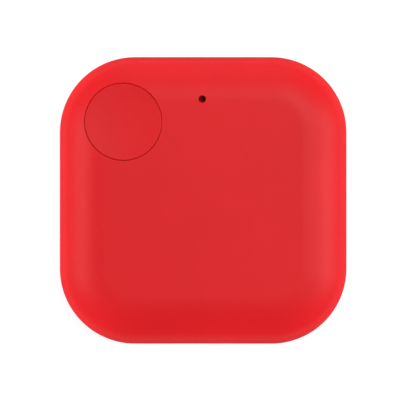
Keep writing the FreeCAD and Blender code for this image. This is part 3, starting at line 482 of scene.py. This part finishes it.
LOOKS = {
    "front_cover": RED_ABS,
    "button_cap": RED_ABS,
    "rear_cover": scuffed_red(),
    "circuit_board": BOARD,
    "buzzer_base": BOARD,
    "board_screws": metal("turned_screw", STEEL, 0.28, lambda t: t.rings(*SCREW_AXES), 0.05 * MM),
    "antenna_trace": GILT,
    "bluetooth_chip": epoxy_black(),
    "chip_terminals": TINNED,
    "main_crystal": lidded_ceramic(),
    "capacitors": granular("capacitor_ceramic", (0.27, 0.17, 0.09), (0.40, 0.27, 0.16), 0.05 * MM, 0.42),
    "resistors": moulded("resistor_glaze", (0.022, 0.023, 0.028), 0.26, 0.5, 0.06 * MM, 0.004 * MM,
                         flow=0.4 * MM),
    "power_inductor": granular("ferrite", (0.045, 0.045, 0.048), (0.11, 0.11, 0.112), 0.05 * MM, 0.62),
    "switch_base": SWITCH_BLACK,
    "switch_terminals": TINNED,
    "switch_dome": metal("spring_dome", STEEL, 0.16, lambda t: t.rings(BUTTON_AXIS), 0.05 * MM),
    "switch_plunger": moulded("plunger_nylon", (0.74, 0.72, 0.66), 0.4, 0.5, 0.06 * MM, 0.003 * MM,
                              bleed=0.2),
    "switch_frame": SWITCH_METAL,
    "buzzer_case": BUZZER_BLACK,
    "buzzer_spacer": BUZZER_BLACK,
    "buzzer_yoke": metal("soft_iron", (0.42, 0.42, 0.42), 0.34, lambda t: t.rings(BUZZER_AXIS),
                         0.06 * MM),
    "buzzer_coil": wound_wire(),
    "buzzer_magnet": granular("magnet", (0.028, 0.028, 0.030), (0.085, 0.085, 0.088), 0.04 * MM, 0.55,
                              metallic=0.4),
    # The diaphragm's dark red is painted shade: it gives the dark red seen down the sound hole.
    "buzzer_diaphragm": metal("steel_painted_red_shade", (0.34, 0.010, 0.010), 0.42,
                              lambda t: t.rings(BUZZER_AXIS), 0.04 * MM),
    "buzzer_terminals": TINNED,
    "buzzer_gasket": open_foam(),
    "negative_contact": CONTACT,
    "positive_contact": SIDE_CONTACT,
    "cell_can": metal("cell_can_steel", STEEL, 0.22, lambda t: t.rings(CELL_AXIS), 0.05 * MM, 3 * MM),
    "cell_cap": metal("cell_cap_steel", tinted(STEEL, 1.06), 0.30, lambda t: t.ruled(20), 0.05 * MM,
                      3 * MM),
    "cell_gasket": moulded("cell_seal", (0.68, 0.69, 0.70), 0.35, 0.5, 0.08 * MM, 0.004 * MM,
                           bleed=0.25),
    "cell_cathode": granular("cathode_mix", (0.008, 0.008, 0.008), (0.035, 0.034, 0.033), 0.06 * MM,
                             0.85),
    "cell_separator": felted("separator_felt", (0.80, 0.80, 0.78)),
    "cell_anode": mottled_metal("soft_anode", (0.50, 0.50, 0.51), 0.42, 0.9 * MM, 0.02 * MM),
}
LOOKS["clock_crystal"] = LOOKS["main_crystal"]
for node in NODES:
    slots = NODES[node].data.materials
    slots.clear()
    slots.append(LOOKS[node])


# ---- Mesh pieces ----
class Piece:
    """A mesh in the making: closed shapes, each in one of the piece's materials."""

    def __init__(self, name, body, slot, *materials):
        self.name, self.body, self.slot, self.materials = name, body, slot, materials
        self.mesh = bmesh.new()

    def face(self, verts):
        self.mesh.faces.new(verts)

    def prism(self, outline, low, high):
        """Upright prism over an outline of (x, y)."""
        bottom = [self.mesh.verts.new((x, y, low)) for x, y in outline]
        top = [self.mesh.verts.new((x, y, high)) for x, y in outline]
        self.face(top)
        self.face(bottom[::-1])
        for i in range(len(outline)):
            self.face((bottom[i - 1], bottom[i], top[i], top[i - 1]))

    def turned(self, x, y, outline, steps=40):
        """Ring turned about an upright axis from a closed outline of (radius, z)."""
        rows = []
        for step in range(steps):
            turn = 2 * math.pi * step / steps
            rows.append([self.mesh.verts.new((x + r * math.cos(turn), y + r * math.sin(turn), z))
                         for r, z in outline])
        for step in range(steps):
            a, b = rows[step - 1], rows[step]
            for i in range(len(outline)):
                self.face((a[i - 1], a[i], b[i], b[i - 1]))

    def ring(self, x, y, inner, outer, low, high):
        self.turned(x, y, [(inner, low), (outer, low), (outer, high), (inner, high)])

    def brick(self, low, high, edge, material=0):
        """Box with bevelled edges."""
        verts = [self.mesh.verts.new((x, y, z)) for z in (low[2], high[2]) for y in (low[1], high[1])
                 for x in (low[0], high[0])]
        sides = [(0, 1, 3, 2), (4, 6, 7, 5), (0, 4, 5, 1), (2, 3, 7, 6), (0, 2, 6, 4), (1, 5, 7, 3)]
        faces = [self.mesh.faces.new([verts[i] for i in side]) for side in sides]
        for face in faces:
            face.material_index = material
        edges = list({e for face in faces for e in face.edges})
        edges.sort(key=lambda e: tuple(tuple(v.co) for v in e.verts))
        bmesh.ops.bevel(self.mesh, geom=edges, offset=edge, segments=2, profile=0.5, affect="EDGES",
                        material=-1)

    def track(self, points, width, low, high):
        """Flat strip that follows (x, y) points with mitred bends."""
        spots = [Vector(p) for p in points]
        sides = [(b - a).normalized().orthogonal() for a, b in zip(spots, spots[1:])]
        left, right = [], []
        for i, spot in enumerate(spots):
            before, after = sides[max(i - 1, 0)], sides[min(i, len(sides) - 1)]
            mitre = (before + after) * (width / 2 / (1 + before.dot(after)))
            left.append(spot + mitre)
            right.append(spot - mitre)
        self.prism([tuple(p) for p in left + right[::-1]], low, high)

    def outline(self, x, y, width, depth, line, low, high):
        """Printed rectangle."""
        half = [(-1, -1), (1, -1), (1, 1), (-1, 1)]
        rings = [[(x + sx * (width / 2 + grow), y + sy * (depth / 2 + grow)) for sx, sy in half]
                 for grow in (-line / 2, line / 2)]
        loops = [[self.mesh.verts.new((*p, z)) for p in ring] for z in (low, high) for ring in rings]
        for i in range(4):
            for a, b in ((0, 1), (1, 3), (3, 2), (2, 0)):
                self.face((loops[a][i - 1], loops[a][i], loops[b][i], loops[b][i - 1]))

    def fillet(self, x, y, degrees, width, rise):
        """Solder on the board's front that runs down in a hollow curve from an end face."""
        turn = math.radians(degrees)
        out = Vector((math.cos(turn), math.sin(turn)))
        side = Vector((-out.y, out.x))
        steps = 5
        rows = []
        for step in range(steps + 1):
            bend = math.pi / 2 * step / steps
            run = FILLET * (1 - math.cos(bend))
            high = BOARD_HIGH + FILM + rise * (1 - math.sin(bend))
            half = side * (width / 2 - FILLET_TAPER * run)
            spot = Vector((x, y)) + out * run
            section = ((half, BOARD_HIGH), (half, high), (-half, high), (-half, BOARD_HIGH))
            rows.append([self.mesh.verts.new((*(spot + aside), z)) for aside, z in section])
        for a, b in zip(rows, rows[1:]):
            for i in range(4):
                self.face((a[i - 1], a[i], b[i], b[i - 1]))
        self.face(rows[0])
        self.face(rows[-1][::-1])

    def done(self, *replaced):
        bmesh.ops.recalc_face_normals(self.mesh, faces=self.mesh.faces)
        data = bpy.data.meshes.new(self.name)
        self.mesh.to_mesh(data)
        self.mesh.free()
        for material in self.materials:
            data.materials.append(material)
        data.polygons.foreach_set("use_smooth", [True] * len(data.polygons))
        data.set_sharp_from_angle(angle=math.radians(38))
        piece = bpy.data.objects.new(self.name, data)
        bpy.context.scene.collection.objects.link(piece)
        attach(piece, self.body)
        if replaced:
            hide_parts(*replaced)
        return piece


def ends_of(low, high):
    """The two end faces of a small oblong part: (x, y, direction, width)."""
    centre, size = (low + high) / 2, high - low
    if size.x > size.y:
        return [(low.x, centre.y, 180, size.y), (high.x, centre.y, 0, size.y)]
    return [(centre.x, low.y, 270, size.x), (centre.x, high.y, 90, size.x)]


def sliced(low, high, start, stop, top=None, inset=0.0):
    """Part of an oblong box between two distances from its first end."""
    a, b = low.copy(), high.copy()
    axis = 0 if high.x - low.x > high.y - low.y else 1
    a[axis], b[axis] = low[axis] + start, low[axis] + stop
    a[1 - axis] += inset
    b[1 - axis] -= inset
    b.z = high.z - inset if top is None else top
    return a, b


def chip_capacitors():
    """Ceramic bodies with tinned ends that stand a hair proud of them."""
    piece = Piece("capacitors_detailed", "front_assembly", "capacitor_tan", LOOKS["capacitors"], TINNED)
    for low, high in islands("capacitors"):
        length = max(high.x - low.x, high.y - low.y)
        ceramic = sliced(low, high, END_LENGTH / 2, length - END_LENGTH / 2, inset=0.015 * MM)
        piece.brick(*ceramic, 0.02 * MM)
        piece.brick(*sliced(low, high, 0.0, END_LENGTH), END_EDGE, 1)
        piece.brick(*sliced(low, high, length - END_LENGTH, length), END_EDGE, 1)
    piece.done("capacitors")


def chip_resistors():
    """White ceramic with a dark glaze on top and tinned ends."""
    ceramic = granular("resistor_ceramic", (0.62, 0.62, 0.60), (0.78, 0.78, 0.76), 0.04 * MM, 0.5)
    piece = Piece("resistors_detailed", "front_assembly", "resistor_black",
                  LOOKS["resistors"], TINNED, ceramic)
    for low, high in islands("resistors"):
        length = max(high.x - low.x, high.y - low.y)
        shelf = high.z - 0.05 * MM
        block = sliced(low, high, END_LENGTH / 2, length - END_LENGTH / 2, shelf, 0.01 * MM)
        piece.brick(*block, 0.01 * MM, 2)
        glaze = sliced(low, high, END_LENGTH * 0.8, length - END_LENGTH * 0.8, inset=0.02 * MM)
        glaze[0].z = shelf
        piece.brick(*glaze, 0.015 * MM)
        for start in (0.0, length - END_LENGTH):
            end = sliced(low, high, start, start + END_LENGTH, high.z - 0.02 * MM)
            piece.brick(*end, 0.03 * MM, 1)
    piece.done("resistors")


def shielded_inductor():
    """Ferrite block with a round drum let into its top, and two tinned ends that wrap its foot."""
    piece = Piece("power_inductor_detailed", "front_assembly", "inductor_grey",
                  LOOKS["power_inductor"], TINNED)
    low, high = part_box("power_inductor")
    centre = (low + high) / 2
    inset = 0.03 * MM
    body_low, body_high = low + Vector((inset, inset, inset)), high - Vector((inset, inset, 0.08 * MM))
    piece.brick(body_low, body_high, 0.12 * MM)
    drum, eye, foot = 0.85 * MM, 0.05 * MM, body_high.z - inset
    piece.turned(centre.x, centre.y, [(eye, foot), (drum, foot), (drum, high.z - inset),
                                      (drum - inset, high.z), (eye, high.z)])
    end_length, end_height = 0.45 * MM, 0.3 * MM
    for near, far in ((low.x, low.x + end_length), (high.x - end_length, high.x)):
        piece.brick(Vector((near, low.y + 2 * inset, low.z)),
                    Vector((far, high.y - 2 * inset, low.z + end_height)), inset, 1)
    piece.done("power_inductor")


def flexing_dome():
    """The switch's snap dome: a thin spherical cap, built in its resting shape; the real dome flattens
    while the button goes down.
    """
    piece = Piece("switch_dome_flexing", "front_assembly", "spring_steel", LOOKS["switch_dome"])
    low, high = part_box("switch_dome")
    centre, foot, rise = (low + high) / 2, (high.x - low.x) / 2, high.z - low.z
    bend = (foot ** 2 + rise ** 2) / (2 * rise)
    under = bend - DOME_THICKNESS
    edge = math.sqrt(under ** 2 - (bend - rise) ** 2)
    eye, steps = EYE / 2, 12
    outline = []
    for radius, start, stop in ((bend, foot, eye), (under, eye, edge)):
        for step in range(steps + 1):
            r = start + (stop - start) * step / steps
            outline.append((r, high.z - bend + math.sqrt(radius ** 2 - r ** 2)))
    piece.turned(centre.x, centre.y, outline, steps=64)
    dome = piece.done("switch_dome")
    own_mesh(dome)


def solder():
    """Fillets at every end and foot that is soldered to the board's front."""
    piece = Piece("solder_fillets", "front_assembly", "solder_tin", TINNED)
    for node, share in (("capacitors", 0.55), ("resistors", 0.6)):
        for low, high in islands(node):
            for x, y, way, width in ends_of(low, high):
                piece.fillet(x, y, way, 0.9 * width, share * (high.z - low.z))
    for node, parent in (("switch_terminals", "switch_base"), ("buzzer_terminals", "buzzer_case")):
        for low, high in islands(node):
            way = 0 if low.x > middle(parent).x else 180
            x = high.x if way == 0 else low.x
            piece.fillet(x, (low.y + high.y) / 2, way, 0.9 * (high.y - low.y), FOOT_RISE)
    low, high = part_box("power_inductor")
    for x, way in ((low.x, 180), (high.x, 0)):
        piece.fillet(x, (low.y + high.y) / 2, way, 1.5 * MM, INDUCTOR_RISE)
    for reach, way, width in CONTACT_FEET:
        turn = math.radians(way)
        x, y = CELL_AXIS.x + reach * math.cos(turn), CELL_AXIS.y + reach * math.sin(turn)
        piece.fillet(x, y, way, width, FOOT_RISE)
    piece.done()


# ---- Copper and print on the board: places in millimetres ----
VIAS = [(-15.4, 5.2), (-15.4, 6.6), (-15.4, 8.0), (-15.4, 9.4), (11.0, 5.2), (12.3, 6.1), (13.6, 7.0),
        (14.9, 7.9), (-5.9, -0.6), (-5.9, -1.5), (-5.9, -2.4)]
REAR_TRACKS = [
    [(-15.4, 5.2), (-14.4, 6.2), (10.0, 6.2), (11.0, 5.2)],
    [(-15.4, 6.6), (-15.1, 6.9), (11.5, 6.9), (12.3, 6.1)],
    [(-15.4, 8.0), (-15.0, 7.6), (13.0, 7.6), (13.6, 7.0)],
    [(-15.4, 9.4), (-14.3, 8.3), (14.5, 8.3), (14.9, 7.9)],
    [(-5.9, -0.6), (-9.0, -3.7), (-9.0, -6.4), (-11.4, -8.8)],
    [(-5.9, -1.5), (-8.0, -3.6), (-8.0, -7.8), (-10.0, -9.8)],
    [(-5.9, -2.4), (-7.0, -3.5), (-7.0, -9.2), (-8.6, -10.8)],
    [(-15.6, -11.4), (-15.6, -8.0), (-13.0, -5.4), (-13.0, 2.2), (-14.9, 4.1)],
    [(-14.0, -11.4), (-14.0, -8.2), (-12.2, -6.4), (-12.2, 2.4), (-10.8, 3.8), (-6.0, 3.8)],
    [(-6.0, 12.8), (-6.0, 10.2)],
    [(-4.4, 12.8), (-4.4, 11.0)],
    [(-2.8, 12.8), (-2.8, 10.2)],
    [(-1.2, 12.8), (-1.2, 11.0)],
    [(0.4, 12.8), (0.4, 10.2)],
]
TEST_PADS = [(-11.4, -8.8), (-10.0, -9.8), (-8.6, -10.8), (-15.6, -11.4), (-14.0, -11.4), (-6.0, 12.8),
             (-4.4, 12.8), (-2.8, 12.8), (-1.2, 12.8), (0.4, 12.8)]
FRONT_TRACKS = [
    [(-7.9, -0.45), (-6.6, -0.45), (-6.45, -0.6), (-5.9, -0.6)],
    [(-7.9, -1.45), (-5.9, -1.45)],
    [(-7.9, -2.45), (-5.9, -2.45)],
    [(-10.15, -4.3), (-10.15, -5.1)],
    [(-11.15, -4.3), (-11.15, -5.1)],
    [(-12.15, -4.3), (-12.15, -8.65), (-12.7, -9.2)],
    [(-12.9, -2.95), (-14.1, -2.95)],
    [(-12.9, -3.45), (-14.1, -4.65)],
    [(-8.65, 0.9), (-8.65, 2.0)],
    [(-10.65, 0.9), (-10.65, 2.3)],
    [(-6.1, 2.0), (-6.1, 3.4), (-4.2, 5.3)],
    [(-15.4, 5.2), (-15.4, 9.4)],
]
PAD_RADIUS = 0.5 * MM
SCREW_LAND_INNER, SCREW_LAND_OUTER = 1.34 * MM, 1.85 * MM
EJECTOR_MARKS = [(-13.0, -13.0), (-13.6, 3.0), (-2.2, 13.4), (13.2, 4.2), (-8.0, -5.6), (3.8, 7.4)]
GATE = (-7.6 * MM, 1.6 * MM)


def scaled(points):
    return [(x * MM, y * MM) for x, y in points]


def board_copper():
    tracks = Piece("board_tracks", "front_assembly", "board_green", TRACK)
    for course in REAR_TRACKS:
        tracks.track(scaled(course), TRACK_WIDTH, BOARD_LOW - FILM, BOARD_LOW)
    for course in FRONT_TRACKS:
        tracks.track(scaled(course), TRACK_WIDTH, BOARD_HIGH, BOARD_HIGH + FILM)
    tracks.done()
    lands = Piece("board_lands", "front_assembly", "copper_gold", GILT)
    under, over = BOARD_LOW - 1.5 * FILM, BOARD_HIGH + 1.5 * FILM
    for x, y in scaled(VIAS):
        lands.turned(x, y, [(VIA_INNER - FILM, under), (VIA_OUTER, under), (VIA_OUTER, BOARD_LOW),
                            (VIA_INNER, BOARD_LOW), (VIA_INNER, BOARD_HIGH), (VIA_OUTER, BOARD_HIGH),
                            (VIA_OUTER, over), (VIA_INNER - FILM, over)], steps=24)
    for x, y in scaled(TEST_PADS):
        lands.turned(x, y, [(EYE, under), (PAD_RADIUS - 1.5 * FILM, under), (PAD_RADIUS, BOARD_LOW),
                            (EYE, BOARD_LOW)])
    for axis in SCREW_AXES:
        lands.ring(axis.x, axis.y, SCREW_LAND_INNER, SCREW_LAND_OUTER, BOARD_LOW - FILM, BOARD_LOW)
    lands.done()


def plus(piece, x, y, length, line, low, high):
    """Plus sign."""
    a, b = length / 2, line / 2
    arm = [(b, -a), (b, -b), (a, -b), (a, b), (b, b), (b, a),
           (-b, a), (-b, b), (-a, b), (-a, -b), (-b, -b), (-b, -a)]
    piece.prism([(x + dx, y + dy) for dx, dy in arm], low, high)


def board_print():
    """White printed outlines round the parts, and plain plus and minus signs by the contacts."""
    ink = Piece("board_print", "front_assembly", "seal_white", printed_ink())
    line = 0.12 * MM
    front = (BOARD_HIGH, BOARD_HIGH + INK)
    rear = (BOARD_LOW - INK, BOARD_LOW)
    for node, margin in (("bluetooth_chip", 0.5), ("main_crystal", 0.35), ("clock_crystal", 0.35),
                         ("power_inductor", 0.5), ("buzzer_base", 0.9)):
        low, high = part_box(node)
        centre, size = (low + high) / 2, high - low
        ink.outline(centre.x, centre.y, size.x + margin * MM, size.y + margin * MM, line, *front)
    for side in (-1, 1):
        y = BUTTON_AXIS.y + side * 2.85 * MM
        ink.track([(BUTTON_AXIS.x - 2.2 * MM, y), (BUTTON_AXIS.x + 2.2 * MM, y)], line, *front)
    plus(ink, -7.6 * MM, -8.3 * MM, 1.2 * MM, 0.25 * MM, *front)
    ink.track(scaled([(-2.6, 2.2), (-1.6, 3.2)]), 0.25 * MM, *front)
    plus(ink, -5.9 * MM, -12.6 * MM, 1.6 * MM, 0.3 * MM, *rear)
    ink.track(scaled([(-3.0, 5.1), (-1.4, 5.1)]), 0.3 * MM, *rear)
    for x, y in scaled(TEST_PADS[5:]):
        ink.ring(x, y, 0.62 * MM, 0.72 * MM, *rear)
    ink.track(scaled([(-13.1, 12.9), (-7.5, 12.9)]), line, *rear)
    ink.track(scaled([(-13.1, 13.5), (-9.5, 13.5)]), line, *rear)
    ink.done()


def moulding_marks():
    """Inside the rear cover: rings left by the ejector pins, the gate's stub and a raised plus sign."""
    marks = Piece("rear_cover_moulding_marks", "rear_shell", "shell_red", LOOKS["rear_cover"])
    sunk, proud = REAR_FLOOR - 0.02 * MM, REAR_FLOOR + 0.04 * MM
    for x, y in scaled(EJECTOR_MARKS):
        marks.turned(x, y, [(0.88 * MM, sunk), (1.02 * MM, sunk), (0.97 * MM, proud),
                            (0.93 * MM, proud)])
    marks.turned(*GATE, [(EYE, sunk), (0.45 * MM, sunk), (0.30 * MM, proud + 0.1 * MM),
                         (EYE, proud + 0.14 * MM)], steps=24)
    plus(marks, CELL_AXIS.x, CELL_AXIS.y, 3.6 * MM, 0.5 * MM, sunk, proud)
    marks.turned(CELL_AXIS.x, CELL_AXIS.y, [(3.2 * MM, sunk), (3.45 * MM, sunk), (3.40 * MM, proud),
                                            (3.25 * MM, proud)], steps=72)
    marks.done()


chip_capacitors()
chip_resistors()
shielded_inductor()
flexing_dome()
solder()
board_copper()
board_print()
moulding_marks()


# ---- Stage ----
def camera():
    data = bpy.data.cameras.new("camera")
    data.sensor_width = SENSOR
    data.clip_start = 10 * MM
    data.lens = SENSOR * CAMERA_HEIGHT / PICTURE_WIDTH
    eye = bpy.data.objects.new("camera", data)
    eye.location = (CAMERA_X, CAMERA_Y, CAMERA_HEIGHT + CAD_BOX[1][2] / 2)
    bpy.context.scene.collection.objects.link(eye)
    bpy.context.scene.camera = eye


# A light tent: a low wall of light on each side and a few panels above. 0 is +X and 90 is +Y. The
# walls give soft light only, and gloss mirrors the panels. Walls: direction and power. Panels:
# direction, elevation and power.
WALLS = {"right": (0, 1.0), "top": (90, 0.8), "left": (180, 1.4), "bottom": (270, 0.8)}
PANELS = {"right": (0, 40, 0.7), "overhead": (45, 70, 0.6), "top": (90, 30, 0.2),
          "left": (180, 45, 0.6)}
WALL_ELEVATION = 6                  # degrees
WALL_HEIGHT = 80 * MM
PANEL_HEIGHT = 160 * MM
SOFTBOX_WIDTH = 240 * MM
SOFTBOX_DISTANCE = 420 * MM
WORLD_LIGHT = 0.15


def softbox(name, azimuth, elevation, height, power):
    """Rectangular lamp that faces the tag from a direction."""
    data = bpy.data.lights.new(name, "AREA")
    data.shape = "RECTANGLE"
    data.size = SOFTBOX_WIDTH
    data.size_y = height
    data.energy = power
    box = bpy.data.objects.new(name, data)
    turn, rise = math.radians(azimuth), math.radians(elevation)
    aim = Vector((math.cos(rise) * math.cos(turn), math.cos(rise) * math.sin(turn), math.sin(rise)))
    box.location = aim * SOFTBOX_DISTANCE
    box.rotation_euler = aim.to_track_quat("Z", "Y").to_euler()
    bpy.context.scene.collection.objects.link(box)
    return box


def studio():
    for side, (azimuth, power) in WALLS.items():
        wall = softbox("wall_" + side, azimuth, WALL_ELEVATION, WALL_HEIGHT, power)
        wall.visible_glossy = False
    for side, (azimuth, elevation, power) in PANELS.items():
        softbox("panel_" + side, azimuth, elevation, PANEL_HEIGHT, power)
    world = bpy.data.worlds.new("studio")
    bpy.context.scene.world = world
    world.use_nodes = True
    background = world.node_tree.nodes["Background"]
    background.inputs["Color"].default_value = (1.0, 1.0, 1.0, 1.0)
    background.inputs["Strength"].default_value = WORLD_LIGHT


FLOOR_HALF = 600 * MM
CLOSE_HALF = 30 * MM                # the floor close to the tag, which gloss doesn't mirror
FLOOR_GREY = (0.35, 0.35, 0.35)
FLOOR_GLOW = 0.78


def floor():
    """Pale floor whose middle is a piece of its own, so that the tag's rim doesn't mirror it."""
    tree = Tree("pale_floor")
    tree.set(Base_Color=FLOOR_GREY, Roughness=0.9, Specular_IOR_Level=0.0)
    tree.set(Emission_Color=(1.0, 1.0, 1.0), Emission_Strength=FLOOR_GLOW)
    outer, inner = ([(x * half, y * half, 0.0) for x, y in ((-1, -1), (1, -1), (1, 1), (-1, 1))]
                    for half in (FLOOR_HALF, CLOSE_HALF))
    around = [(i, (i + 1) % 4, (i + 1) % 4 + 4, i + 4) for i in range(4)]
    for name, points, faces in (("floor", outer + inner, around),
                                ("floor_middle", inner, [(0, 1, 2, 3)])):
        mesh = bpy.data.meshes.new(name)
        mesh.from_pydata(points, [], faces)
        mesh.materials.append(tree.material)
        ground = bpy.data.objects.new(name, mesh)
        ground.visible_glossy = name == "floor"
        bpy.context.scene.collection.objects.link(ground)


camera()
studio()
floor()
bpy.context.scene.view_settings.view_transform = "Standard"
